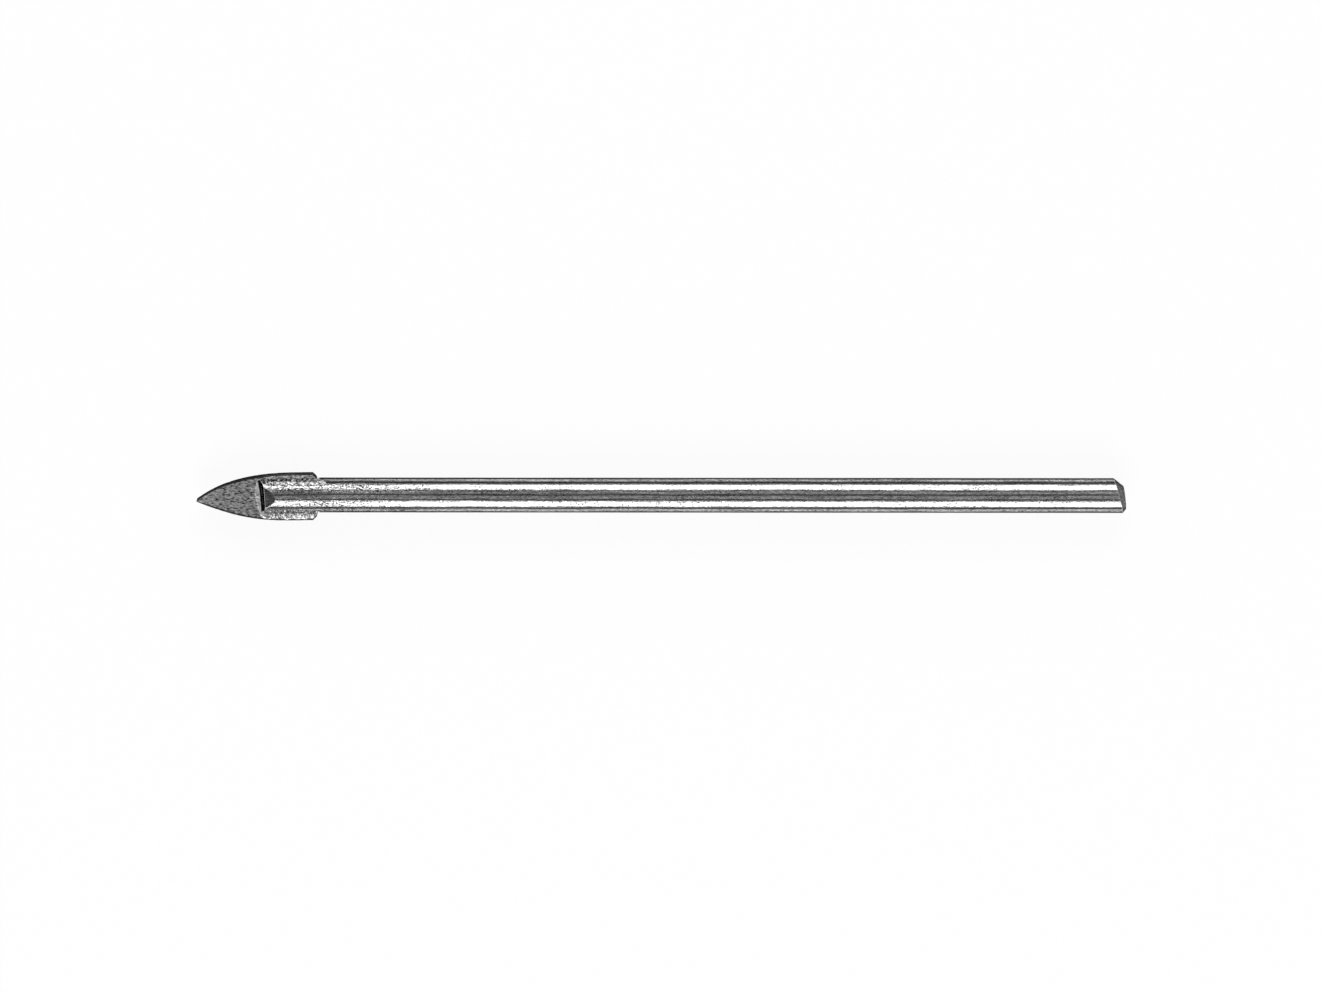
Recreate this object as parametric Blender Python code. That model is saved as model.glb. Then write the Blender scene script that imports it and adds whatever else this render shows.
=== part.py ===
"""Glass and tile drill bit: a carbide spear point brazed into the slotted end of a round steel shank.

Metres, +Z up. The origin is the centre of the shank's rear end face. The shank runs along X with the
point at -X, and the carbide plate lies flat in the XY plane, as the bit lies on a bench.
"""

import math

import bmesh
import bpy
from mathutils import Matrix

# Whole bit
OVERALL_LENGTH = 0.0602  # point to rear end face
CUTTING_DIAMETER = 0.0032  # circle swept by the two cutting corners
SHANK_DIAMETER = 0.00228
SHEAR_SLANT = math.radians(6.5)  # the blank was sheared from wire, so both its ends lean alike

# Carbide plate
PLATE_THICKNESS = 0.0010
OGIVE_LENGTH = 0.0065  # the curved cutting edges, before the sides run parallel
PARALLEL_LENGTH = 0.0013
OGIVE_FULLNESS = 2.5  # 2 would make the edges parabolas
POINT_BIAS = 0.00014  # the point was ground off the plate's middle line
BIAS_LENGTH = 0.0022
RELIEF_ANGLE = math.radians(7.0)  # how far each flank falls back behind its cutting edge
BACK_CORNER = 0.00027  # corners ground off the plate's back end
PLATE_SKEW = math.radians(0.9)  # the plate was brazed in slightly crooked
PLATE_SHIFT = 0.00007  # and a little to one side

# Slotted end of the shank
EAR_GRIP = 0.00352  # length of plate held between the two ears
EAR_LEAN = math.radians(25.0)  # each ear's front leans back from the plate
FACET_LENGTH = 0.00088  # bevel ground on the crown of each ear, measured from the ear's foot
FACET_DEPTH = 0.0003
FACET_ROLL = math.radians(8.0)

# Rear end of the shank
REAR_CHAMFER = 0.00038
CHAMFER_OFFSET = 0.00013  # the chamfer was ground off centre, deeper on the +Y side

# Braze
FILM = 0.00004  # filler between the plate and each wall of the slot
SEAT_GAP = 0.00002  # kept between neighbouring solids
FLOOR_FILM = 0.00011  # filler between the plate's back end and the slot's floor
SKIN = 0.00005  # mean height of the filler where it has run out over steel or carbide
FOOT = 0.00014  # reach of the narrow fillets across the plate
EDGE_BARE = 0.00007  # bare carbide left outside the wide fillets
HEAP = 0.00012  # mean height of the wide fillets over the plate
STEEP_CLIMB = math.radians(26.0)  # how far the filler climbs an ear on its narrow side
SHORT_CLIMB = math.radians(4.0)  # and on its wide side
ROOT = math.radians(5.0)  # how far each fillet reaches in under an ear's corner
TAIL = 0.00085  # filler run back over the shank behind the plate, on the narrow side
SHORT_TAIL = 0.00025  # and on the wide side
APRON = 0.00055  # filler run forward over the plate, ahead of the ears
RUN_IN = 0.00036  # behind the ears' fronts, where the apron turns into the fillets
APRON_HEIGHT = 0.0001  # over the plate, enough to cover the mouth of the slot's film
LUMP = 0.00062  # spacing of the lumps along a fillet
LUMP_SHARE = 0.3  # height of a lump against the mean

# Faceting
ROUND_SIDES = 48
OGIVE_STEPS = 20
OGIVE_CROWDING = 1.3  # above 1, the steps are closer together near the point
STATION = 0.00012  # spacing of the filler's sections
SLIVER = 0.000002  # the filler has no edges shorter than this
THIN_FACE = 0.0000005  # and faces thinner than this are mended
CUT_MARGIN = 0.0005  # how far a cutter stands clear of what it cuts
DIVE = 0.00005  # how far the filler's blank dips into its neighbours before they are cut from it

SHANK_RADIUS = SHANK_DIAMETER / 2
HALF_PLATE = PLATE_THICKNESS / 2
HALF_WIDTH = math.sqrt((CUTTING_DIAMETER / 2) ** 2 - HALF_PLATE**2)
RELIEF_STEP = PLATE_THICKNESS * math.tan(RELIEF_ANGLE)
HALF_SLOT = HALF_PLATE + FILM + 2 * SEAT_GAP
PLATE_LENGTH = OGIVE_LENGTH + PARALLEL_LENGTH
PLATE_BACK_X = PLATE_LENGTH - OVERALL_LENGTH
SLOT_FLOOR_X = PLATE_BACK_X + FLOOR_FILM + 2 * SEAT_GAP
EAR_FRONT_X = PLATE_BACK_X - EAR_GRIP
EAR_CORNER_Y = math.sqrt(SHANK_RADIUS**2 - HALF_SLOT**2)
EAR_CORNER_ANGLE = math.atan2(HALF_SLOT, EAR_CORNER_Y)
REAR_OVERRUN = REAR_CHAMFER + SHANK_RADIUS * math.sin(SHEAR_SLANT)
FILLED_FROM = EAR_FRONT_X - 1.4 * APRON
FILLED_TO = PLATE_BACK_X + 1.4 * TAIL


def clear_scene():
    for obj in list(bpy.data.objects):
        bpy.data.objects.remove(obj)


def metal(name, colour, roughness):
    material = bpy.data.materials.new(name)
    material.use_nodes = True
    shader = material.node_tree.nodes["Principled BSDF"]
    shader.inputs["Base Color"].default_value = (*colour, 1.0)
    shader.inputs["Metallic"].default_value = 1.0
    shader.inputs["Roughness"].default_value = roughness
    return material


def add_object(name, shape, material=None):
    """Links a bmesh as an object. Without a material it is a cutter, and stays out of the model."""
    bmesh.ops.recalc_face_normals(shape, faces=shape.faces)
    mesh = bpy.data.meshes.new(name)
    shape.to_mesh(mesh)
    shape.free()
    obj = bpy.data.objects.new(name, mesh)
    bpy.context.scene.collection.objects.link(obj)
    if material is None:
        obj.hide_render = True
        obj.display_type = "WIRE"
    else:
        mesh.materials.append(material)
    return obj


def cut_away(target, *cutters):
    for cutter in cutters:
        modifier = target.modifiers.new("cut " + cutter.name, "BOOLEAN")
        modifier.operation = "DIFFERENCE"
        modifier.solver = "EXACT"
        modifier.object = cutter


def longest_edge(triangle):
    return max(triangle.edges, key=lambda edge: edge.calc_length())


def height_of(triangle):
    """Height of a triangle over its longest edge."""
    return 2 * triangle.calc_area() / longest_edge(triangle).calc_length()


def turn_thin_faces(shape):
    """Gives each very thin triangle a better shape by turning the edge it shares with its neighbour."""
    for triangle in sorted(shape.faces, key=height_of):
        if not triangle.is_valid or height_of(triangle) > THIN_FACE:
            continue
        turned = bmesh.utils.edge_rotate(longest_edge(triangle))
        if turned is not None and min(height_of(face) for face in turned.link_faces) < THIN_FACE / 10:
            bmesh.utils.edge_rotate(turned)


def apply_cuts(obj):
    """Makes the cuts final, and clears the slivers left where two surfaces cross at a shallow angle."""
    shape = bmesh.new()
    shape.from_object(obj, bpy.context.evaluated_depsgraph_get())
    bmesh.ops.triangulate(shape, faces=shape.faces)
    bmesh.ops.dissolve_degenerate(shape, edges=shape.edges, dist=SLIVER)
    bmesh.ops.triangulate(shape, faces=shape.faces)
    turn_thin_faces(shape)
    obj.modifiers.clear()
    shape.to_mesh(obj.data)
    shape.free()


def shade_round(obj, angle=math.radians(20.0)):
    obj.data.shade_smooth()
    obj.data.set_sharp_from_angle(angle=angle)


def box_shape(low, high):
    """A box between two corners."""
    shape = bmesh.new()
    size = [b - a for a, b in zip(low, high)]
    middle = [(a + b) / 2 for a, b in zip(low, high)]
    placed = Matrix.Translation(middle) @ Matrix.Diagonal((*size, 1.0))
    bmesh.ops.create_cube(shape, size=1.0, matrix=placed)
    return shape


def turned_shape(profile):
    """A solid turned about the X axis from (x, radius) points, with a flat side facing straight down."""
    shape = bmesh.new()
    half_side = math.pi / ROUND_SIDES
    rings = []
    for x, radius in profile:
        if radius == 0:
            rings.append([shape.verts.new((x, 0, 0))])
            continue
        angles = [half_side * (2 * i + 1) for i in range(ROUND_SIDES)]
        rings.append([shape.verts.new((x, radius * math.sin(a), radius * math.cos(a))) for a in angles])
    for first, second in zip(rings, rings[1:] + rings[:1]):
        if len(first) == len(second) == 1:
            continue
        for i in range(ROUND_SIDES):
            corners = [(first, i), (first, i + 1), (second, i + 1), (second, i)]
            shape.faces.new(dict.fromkeys(ring[j % len(ring)] for ring, j in corners))
    return shape


def rear_end_cutter():
    """A cup like a pencil sharpener's. Its floor leaves the end face and its cone leaves the chamfer."""
    inner = SHANK_RADIUS - REAR_CHAMFER
    reach = REAR_OVERRUN + CHAMFER_OFFSET + CUT_MARGIN
    outer = inner + reach + CUT_MARGIN
    cutter = add_object("rear_end_cutter", turned_shape([(0, 0), (0, inner), (-reach, inner + reach),
                                                         (-reach, outer), (reach, outer), (reach, 0)]))
    aside = Matrix.Translation((0, -CHAMFER_OFFSET, 0))
    cutter.matrix_world = Matrix.Rotation(SHEAR_SLANT, 4, "Z") @ aside
    return cutter


def front_cutter(name, grow, face):
    """A block whose rear side is the leaning front of one ear."""
    side = 2 * SHANK_DIAMETER
    cutter = add_object(name, box_shape((-side, -side, -side), (-grow, side, side)))
    foot = Matrix.Translation((EAR_FRONT_X, 0, face * HALF_SLOT))
    lean = Matrix.Rotation(face * EAR_LEAN, 4, "Y")
    cutter.matrix_world = foot @ Matrix.Rotation(SHEAR_SLANT, 4, "Z") @ lean
    return cutter


def facet_cutter(name, grow, face):
    """A block whose underside is the bevel on one ear's crown. Half a turn about X gives the other's."""
    slope = Matrix.Rotation(-math.atan2(FACET_DEPTH, FACET_LENGTH), 4, "Y")
    shape = box_shape((-FACET_LENGTH - CUT_MARGIN, -SHANK_DIAMETER, grow),
                      (2 * FACET_LENGTH + CUT_MARGIN, SHANK_DIAMETER, SHANK_DIAMETER))
    cutter = add_object(name, shape)
    crown = Matrix.Translation((EAR_FRONT_X, 0, SHANK_RADIUS - FACET_DEPTH))
    half_turn = 0 if face == 1 else math.pi
    cutter.matrix_world = Matrix.Rotation(FACET_ROLL + half_turn, 4, "X") @ crown @ slope
    return cutter


def make_shank(name, grow=0.0, material=None):
    """The slotted shank. A grown copy, with every face moved outwards, is what the filler is cut back by."""
    front = EAR_FRONT_X - SHANK_RADIUS
    radius = SHANK_RADIUS + grow
    blank = [(front, 0), (front, radius), (REAR_OVERRUN, radius), (REAR_OVERRUN, 0)]
    shank = add_object(name, turned_shape(blank), material)
    slot = add_object(name + "_slot", box_shape((front - CUT_MARGIN, -SHANK_DIAMETER, grow - HALF_SLOT),
                                                (SLOT_FLOOR_X - grow, SHANK_DIAMETER, HALF_SLOT - grow)))
    cut_away(shank, slot)
    for side, face in (("near", 1), ("far", -1)):
        cut_away(shank, front_cutter(f"{name}_{side}_front", grow, face))
        cut_away(shank, facet_cutter(f"{name}_{side}_facet", grow, face))
    cut_away(shank, rear_end_cutter())
    shade_round(shank)
    return shank


def edge_half_width(from_point):
    """Distance of a cutting edge from the plate's middle line, at a distance behind the point."""
    rise = HALF_WIDTH - RELIEF_STEP / 2
    return HALF_WIDTH - rise * max(1 - from_point / OGIVE_LENGTH, 0) ** OGIVE_FULLNESS


def point_bias(from_point):
    return -POINT_BIAS * max(1 - from_point / BIAS_LENGTH, 0) ** 2


def plate_outline(grow):
    """(distance behind the point, half width) from the point back to the corner of the back end."""
    outline = []
    for step in range(OGIVE_STEPS + 1):
        from_point = OGIVE_LENGTH * (step / OGIVE_STEPS) ** OGIVE_CROWDING
        outline.append((from_point, edge_half_width(from_point) + grow))
    outline.append((PLATE_LENGTH + grow - BACK_CORNER, HALF_WIDTH + grow))
    outline.append((PLATE_LENGTH + grow, HALF_WIDTH + grow - BACK_CORNER))
    return outline


def plate_place():
    """The plate's seat: turned a little about the middle of its back end."""
    return Matrix.Translation((PLATE_BACK_X, -PLATE_SHIFT, 0)) @ Matrix.Rotation(PLATE_SKEW, 4, "Z")


def make_plate(name, grow=0.0, material=None):
    """The spear point. Each face has a cutting edge on one side and a flank's trailing edge on the other."""
    shape = bmesh.new()
    outline = plate_outline(grow)
    height = HALF_PLATE + grow

    def edge(side, face, set_in):
        return [shape.verts.new((d - PLATE_LENGTH, point_bias(d) + side * (w - set_in), face * height))
                for d, w in outline]

    near_lead = edge(-1, 1, 0)
    near_trail = edge(1, 1, RELIEF_STEP)
    far_lead = edge(1, -1, 0)
    far_trail = edge(-1, -1, RELIEF_STEP)
    shape.faces.new(near_lead + near_trail[::-1])
    shape.faces.new(far_lead + far_trail[::-1])
    for leading, trailing in ((near_lead, far_trail), (far_lead, near_trail)):
        for i in range(len(outline) - 1):
            shape.faces.new((leading[i], leading[i + 1], trailing[i + 1], trailing[i]))
    for i in (0, -1):
        shape.faces.new((near_lead[i], near_trail[i], far_lead[i], far_trail[i]))
    bmesh.ops.remove_doubles(shape, verts=shape.verts, dist=SEAT_GAP / 10)
    plate = add_object(name, shape, material)
    plate.matrix_world = plate_place()
    shade_round(plate)
    return plate


def smooth_step(value):
    """0 below 0 and 1 above 1, with no corner between."""
    value = min(max(value, 0.0), 1.0)
    return value * value * (3 - 2 * value)


def lumps(along, phase):
    """Uneven swellings along a fillet, about 1."""
    turns = 2 * math.pi * along / LUMP
    return 1 + LUMP_SHARE * (0.6 * math.sin(turns + phase) + 0.4 * math.sin(1.7 * turns + 2 * phase))


def on_shank(angle, height):
    """A (y, z) point at an angle up from the plate's plane, at a height over the shank's surface."""
    radius = SHANK_RADIUS + height
    return radius * math.cos(angle), radius * math.sin(angle)


def between(first, second, share):
    return tuple(a + share * (b - a) for a, b in zip(first, second))


def foot_reach(x, side, wide):
    """How far from the axis the filler's edge lies on the plate, on one side."""
    from_back = min(x - PLATE_BACK_X, 0)
    from_point = PLATE_LENGTH + from_back
    half_width = edge_half_width(from_point) - max(BACK_CORNER + from_back, 0)
    half_width -= 0 if wide else RELIEF_STEP
    middle = from_back * math.tan(PLATE_SKEW) - PLATE_SHIFT
    bare_from = half_width + side * middle - EDGE_BARE * lumps(x, 4 * side)
    reach = bare_from if wide else min(EAR_CORNER_Y + FOOT * lumps(x, side), bare_from)
    return max(reach, (EAR_CORNER_Y + FILM) * smooth_step((x - FILLED_FROM) / (EAR_FRONT_X - FILLED_FROM)))


def apron_points(x, side, reach, count):
    """The thin skin ahead of an ear, from its foot to the middle of the plate."""
    points = [(reach + DIVE, HALF_PLATE - DIVE)]
    for i in range(count - 1):
        y = reach * (1 - i / (count - 1.5))
        front = EAR_FRONT_X - side * y * math.tan(SHEAR_SLANT) - APRON * (1 - 0.5 * (y / reach) ** 2)
        risen = smooth_step((x - front) / (APRON / 3))
        height = SEAT_GAP + APRON_HEIGHT * lumps(x, side + 2 * y / LUMP)
        points.append((y, HALF_PLATE - DIVE + risen * (DIVE + height)))
    return points


def fillet_points(x, side, reach, wide):
    """The filler between the plate and an ear, from its foot on the plate to its top on the ear."""
    behind = x - PLATE_BACK_X
    tail = SHORT_TAIL if wide else TAIL
    thinned = 1 - smooth_step(2 * behind / tail - 1)
    drawn_in = smooth_step(behind / SHORT_TAIL + 0.5)
    climb = (SHORT_CLIMB * lumps(x, 7 * side) if wide else STEEP_CLIMB * math.sqrt(lumps(x, 7 * side)))
    climb *= 0.6 + 0.4 * thinned
    height = -DIVE + thinned * (DIVE + SKIN * lumps(x, 3 * side))
    root = on_shank(EAR_CORNER_ANGLE - ROOT, -DIVE)
    foot = (reach, HALF_PLATE + SEAT_GAP + SKIN / 2)
    upper = on_shank(EAR_CORNER_ANGLE + 0.35 * climb, 1.3 * height)
    middle = between(foot, upper, 0.5)
    middle = (middle[0], HALF_PLATE + HEAP * lumps(x, 5 * side)) if wide else middle
    return [between((reach + DIVE, HALF_PLATE - DIVE), root, drawn_in),
            between(foot, on_shank(EAR_CORNER_ANGLE, height), drawn_in),
            between(middle, on_shank(EAR_CORNER_ANGLE + 0.15 * climb, height), drawn_in),
            upper,
            on_shank(EAR_CORNER_ANGLE + 0.8 * climb, height),
            on_shank(EAR_CORNER_ANGLE + climb, -DIVE)]


def filler_section(x):
    """The ring of (y, z) points round the filler's blank at one place along the bit."""
    ring = []
    for side, face in ((1, 1), (-1, 1), (-1, -1), (1, -1)):
        ear_foot = EAR_FRONT_X - side * EAR_CORNER_Y * math.tan(SHEAR_SLANT)
        seated = smooth_step((x - ear_foot - SKIN) / RUN_IN)
        wide = side != face
        reach = foot_reach(x, side, wide)
        fillet = fillet_points(x, side, reach, wide)
        apron = apron_points(x, side, reach, len(fillet))
        points = [between(a, b, seated) for a, b in zip(apron, fillet)]
        points = [(side * y, face * z) for y, z in points]
        ring += points if side == face else points[::-1]
    return ring


def make_braze(name, material):
    """One body of filler: the film round the plate in its slot, and the fillets, apron and tails outside."""
    shape = bmesh.new()
    stations = math.ceil((FILLED_TO - FILLED_FROM) / STATION)
    rings = []
    for i in range(stations + 1):
        x = FILLED_FROM + (FILLED_TO - FILLED_FROM) * i / stations
        rings.append([shape.verts.new((x, y, z)) for y, z in filler_section(x)])
    for first, second in zip(rings, rings[1:]):
        for i in range(len(first)):
            shape.faces.new((first[i - 1], first[i], second[i], second[i - 1]))
    for x, ring in ((FILLED_FROM, rings[0]), (FILLED_TO, rings[-1])):
        middle = shape.verts.new((x, 0, 0))
        for i in range(len(ring)):
            shape.faces.new((middle, ring[i - 1], ring[i]))
    bmesh.ops.triangulate(shape, faces=shape.faces)
    braze = add_object(name, shape, material)
    cut_away(braze, make_shank("shank_clearance", SEAT_GAP), make_plate("plate_clearance", SEAT_GAP))
    apply_cuts(braze)
    shade_round(braze, math.radians(50.0))


def main():
    clear_scene()
    make_shank("shank", material=metal("drawn_steel", (0.38, 0.38, 0.38), 0.3))
    make_plate("carbide_tip", material=metal("ground_carbide", (0.17, 0.17, 0.17), 0.5))
    make_braze("braze", metal("silver_braze", (0.55, 0.55, 0.53), 0.4))


main()
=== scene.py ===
"""The looks of the glass and tile drill bit: a carbide spear point brazed into a drawn steel shank.

Metres, +Z up, the point at -X. Each of the three CAD nodes gets a finer piece in the same place.
"""

import math
import random

import bmesh
import bpy
from mathutils import Matrix, Vector, noise


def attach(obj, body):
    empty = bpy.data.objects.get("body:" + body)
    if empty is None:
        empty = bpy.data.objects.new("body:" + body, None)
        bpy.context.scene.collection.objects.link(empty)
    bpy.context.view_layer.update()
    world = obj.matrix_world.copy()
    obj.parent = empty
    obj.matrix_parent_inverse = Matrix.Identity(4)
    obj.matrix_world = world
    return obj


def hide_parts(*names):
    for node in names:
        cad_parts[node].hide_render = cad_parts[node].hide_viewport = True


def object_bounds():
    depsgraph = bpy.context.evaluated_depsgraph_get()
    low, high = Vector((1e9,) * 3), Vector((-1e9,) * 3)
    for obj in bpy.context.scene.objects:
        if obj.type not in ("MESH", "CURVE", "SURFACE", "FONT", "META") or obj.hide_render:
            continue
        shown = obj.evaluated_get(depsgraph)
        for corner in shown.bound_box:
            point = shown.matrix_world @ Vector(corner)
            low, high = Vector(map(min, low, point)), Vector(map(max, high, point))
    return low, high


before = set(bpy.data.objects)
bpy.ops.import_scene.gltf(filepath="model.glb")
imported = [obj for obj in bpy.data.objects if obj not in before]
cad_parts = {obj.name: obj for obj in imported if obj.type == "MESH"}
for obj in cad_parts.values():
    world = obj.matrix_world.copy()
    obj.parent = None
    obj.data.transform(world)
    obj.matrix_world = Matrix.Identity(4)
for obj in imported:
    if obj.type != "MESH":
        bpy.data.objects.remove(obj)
CAD_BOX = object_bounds()

MM = 0.001

# Sizes shared with the CAD model
OVERALL_LENGTH = 60.2 * MM
CUTTING_DIAMETER = 3.2 * MM
SHANK_DIAMETER = 2.28 * MM
SHEAR_SLANT = math.radians(6.5)
PLATE_THICKNESS = 1.0 * MM
OGIVE_LENGTH = 6.5 * MM
PARALLEL_LENGTH = 1.3 * MM
OGIVE_FULLNESS = 2.5
POINT_BIAS = 0.14 * MM
BIAS_LENGTH = 2.2 * MM
RELIEF_ANGLE = math.radians(7.0)
BACK_CORNER = 0.27 * MM
PLATE_SKEW = math.radians(0.9)
PLATE_SHIFT = 0.07 * MM
EAR_GRIP = 3.52 * MM
EAR_LEAN = math.radians(25.0)
FACET_LENGTH = 0.88 * MM
FACET_DEPTH = 0.3 * MM
FACET_ROLL = math.radians(8.0)
REAR_CHAMFER = 0.38 * MM
CHAMFER_OFFSET = 0.13 * MM
FILM = 0.04 * MM
FLOOR_FILM = 0.11 * MM
SEAT_GAP = 0.02 * MM
WETTED = 0.02 * MM
FOOT = 0.14 * MM
EDGE_BARE = 0.07 * MM
HEAP = 0.12 * MM
SKIN = 0.05 * MM
STEEP_CLIMB = math.radians(26.0)
SHORT_CLIMB = math.radians(4.0)
ROOT = math.radians(5.0)
TAIL = 0.85 * MM
SHORT_TAIL = 0.25 * MM
APRON = 0.55 * MM
RUN_IN = 0.36 * MM
APRON_HEIGHT = 0.1 * MM
CUT_MARGIN = 0.5 * MM
DIVE = 0.05 * MM

SHANK_RADIUS = SHANK_DIAMETER / 2
HALF_PLATE = PLATE_THICKNESS / 2
HALF_WIDTH = math.sqrt((CUTTING_DIAMETER / 2) ** 2 - HALF_PLATE**2)
RELIEF_STEP = PLATE_THICKNESS * math.tan(RELIEF_ANGLE)
HALF_SLOT = HALF_PLATE + FILM + 2 * SEAT_GAP
PLATE_LENGTH = OGIVE_LENGTH + PARALLEL_LENGTH
PLATE_BACK_X = PLATE_LENGTH - OVERALL_LENGTH
SLOT_FLOOR_X = PLATE_BACK_X + FLOOR_FILM + 2 * SEAT_GAP
EAR_FRONT_X = PLATE_BACK_X - EAR_GRIP
EAR_CORNER_Y = math.sqrt(SHANK_RADIUS**2 - HALF_SLOT**2)
EAR_CORNER_ANGLE = math.atan2(HALF_SLOT, EAR_CORNER_Y)
FILLED_FROM = EAR_FRONT_X - 1.4 * APRON
FILLED_TO = PLATE_BACK_X + 1.4 * TAIL
BIT_MIDDLE = Vector((-OVERALL_LENGTH / 2, 0, 0))

# Painted reflections along the wire: dark bands are painted shade, one bright band a painted highlight.
# Degrees round it from straight up towards +Y, half their width, and their shine
PAINTED_REFLECTION_BANDS = ((-68.5, 8.5, 0.0), (-54.5, 4, 1.3), (-41.5, 10.5, 0.06), (-9.5, 4, 0.12), (7, 5.5, 0.22),
             (21, 3.5, 0.3), (51.5, 15.5, 0.05), (75.5, 10, 0.0))
# Small dents: place along the bit, degrees round it, reach along it, reach round it in degrees, and depth
DENTS = ((-48.6, 52, 0.12, 7, 0.020), (-46.8, -20, 0.22, 12, -0.020), (-46.4, -25, 0.10, 7, 0.025),
         (-45.2, -48, 0.12, 6, 0.012), (-44.1, -30, 0.26, 6, 0.022), (-28.9, -64, 0.18, 7, 0.020),
         (-16.6, -60, 0.14, 6, 0.014), (-6.8, 33, 0.16, 6, 0.010), (-5.9, 30, 0.30, 4, 0.008))

# Places along the bit where heat and use have marked it
SCALE_FULL_X = -50 * MM  # ahead of this the steel is speckled with scale
SCALE_END_X = -42 * MM
POINT_WORN_X = -59.8 * MM
POINT_KEPT_X = -58.6 * MM

# Fine shapes: nicks in the cutting edges, and the lumps and beads that the braze froze with
CHIP_SPACING = 0.16 * MM
CHIP_DEPTH = 0.02 * MM
HONED_CORNER = 0.012 * MM
LUMP_SPACING = 0.62 * MM
BEAD_SPACING = 0.17 * MM
BEAD_HEIGHT = 0.024  # in millimetres

# Dark colour on the braze, by its distance from the bit's middle line: painted shade ahead of the ears and
# in the creases along their corners, and patches of burnt flux
PAINTED_SHADE_AHEAD = 0.15 * MM
PAINTED_SHADE_HALF_WIDTH = 1.02 * MM
FLUX_AND_SHADE_FREE = 0.5 * MM
NARROW_BAND_INNER = 0.90 * MM
NARROW_BAND_OUTER = 1.17 * MM
WIDE_LINE = 1.10 * MM
CREASE_SHADE_FLAKE = 0.14 * MM
FLUX_SPECK = 0.1 * MM

# Camera, fitted to the outline in the photograph
CAMERA_DISTANCE = 400 * MM
CAMERA_TILT = math.radians(0.5)  # towards the point
CAMERA_LEAN = math.radians(6.0)  # towards +Y
CAMERA_ROLL = math.radians(0.043)
CAMERA_AIM = (-30.057 * MM, -0.087 * MM, 0)
CAMERA_LENS = 167.73

# Light
STRIP_DISTANCE = 0.42
STRIP_LENGTH = 0.40
STRIP_RADIANCE = 3.1
OVERHEAD = 0.42
FLOOR_REACH = 2.5

# Fineness of the meshes
SHANK_SIDES = 144
SHANK_STEP = 0.22 * MM
SHANK_STEP_FRONT = 0.12 * MM
PLATE_STEPS = 150
PLATE_COLUMNS = 16  # across each face, behind the edge band
EDGE_BAND = 0.07 * MM  # the darker band along each cutting edge
BRAZE_STEP = 0.07 * MM


def hex_colour(code):
    """An sRGB hex colour as the linear colour that sockets take."""
    channels = [int(code[i:i + 2], 16) / 255 for i in (0, 2, 4)]
    linear = [c / 12.92 if c <= 0.04045 else ((c + 0.055) / 1.055) ** 2.4 for c in channels]
    return (*linear, 1.0)


def add_node(tree, kind, inputs=None, **settings):
    """Adds a node with its own settings and its inputs. An input given as a socket is linked."""
    made = tree.nodes.new(kind)
    for name, value in settings.items():
        setattr(made, name, value)
    for name, value in (inputs or {}).items():
        if isinstance(value, bpy.types.NodeSocket):
            tree.links.new(value, made.inputs[name])
        else:
            made.inputs[name].default_value = value
    return made


def new_material(name):
    """A node material with its shader, and with the place on the piece in metres."""
    material = bpy.data.materials.new(name)
    material.use_nodes = True
    tree = material.node_tree
    shader = tree.nodes["Principled BSDF"]
    place = add_node(tree, "ShaderNodeTexCoord").outputs["Object"]
    return material, tree, shader, place


def grain(tree, place, along, across, detail=2.0, roughness=0.5):
    """Noise whose grains have a real length along the bit and a real width across it."""
    scaled = add_node(tree, "ShaderNodeMapping",
                      {"Vector": place, "Scale": (1 / along, 1 / across, 1 / across)})
    return add_node(tree, "ShaderNodeTexNoise", {"Vector": scaled.outputs["Vector"], "Scale": 1.0,
                                                 "Detail": detail, "Roughness": roughness}).outputs["Fac"]


def painted_reflection_ramp(tree, turn):
    """Painted reflections by the turn round the wire: dark bands of painted shade, one painted highlight."""
    rng = random.Random(8)
    lines = list(PAINTED_REFLECTION_BANDS)
    lines += [(degrees + rng.uniform(-8, 8), rng.uniform(4, 9), rng.uniform(0.1, 0.4))
              for degrees in (150, 205)]
    ramp = add_node(tree, "ShaderNodeValToRGB", {"Fac": turn})
    ramp.color_ramp.interpolation = "EASE"
    stops = ramp.color_ramp.elements
    for stop, value in zip(stops, (0.0, 1.0)):
        stop.position = value
        stop.color = (1, 1, 1, 1)
    for degrees, reach, shine in lines:
        for place, value in ((degrees - reach, 1.0), (degrees, shine), (degrees + reach, 1.0)):
            stops.new((place + 90) / 360).color = (value, value, value, 1)
    return ramp.outputs["Color"]


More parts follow.
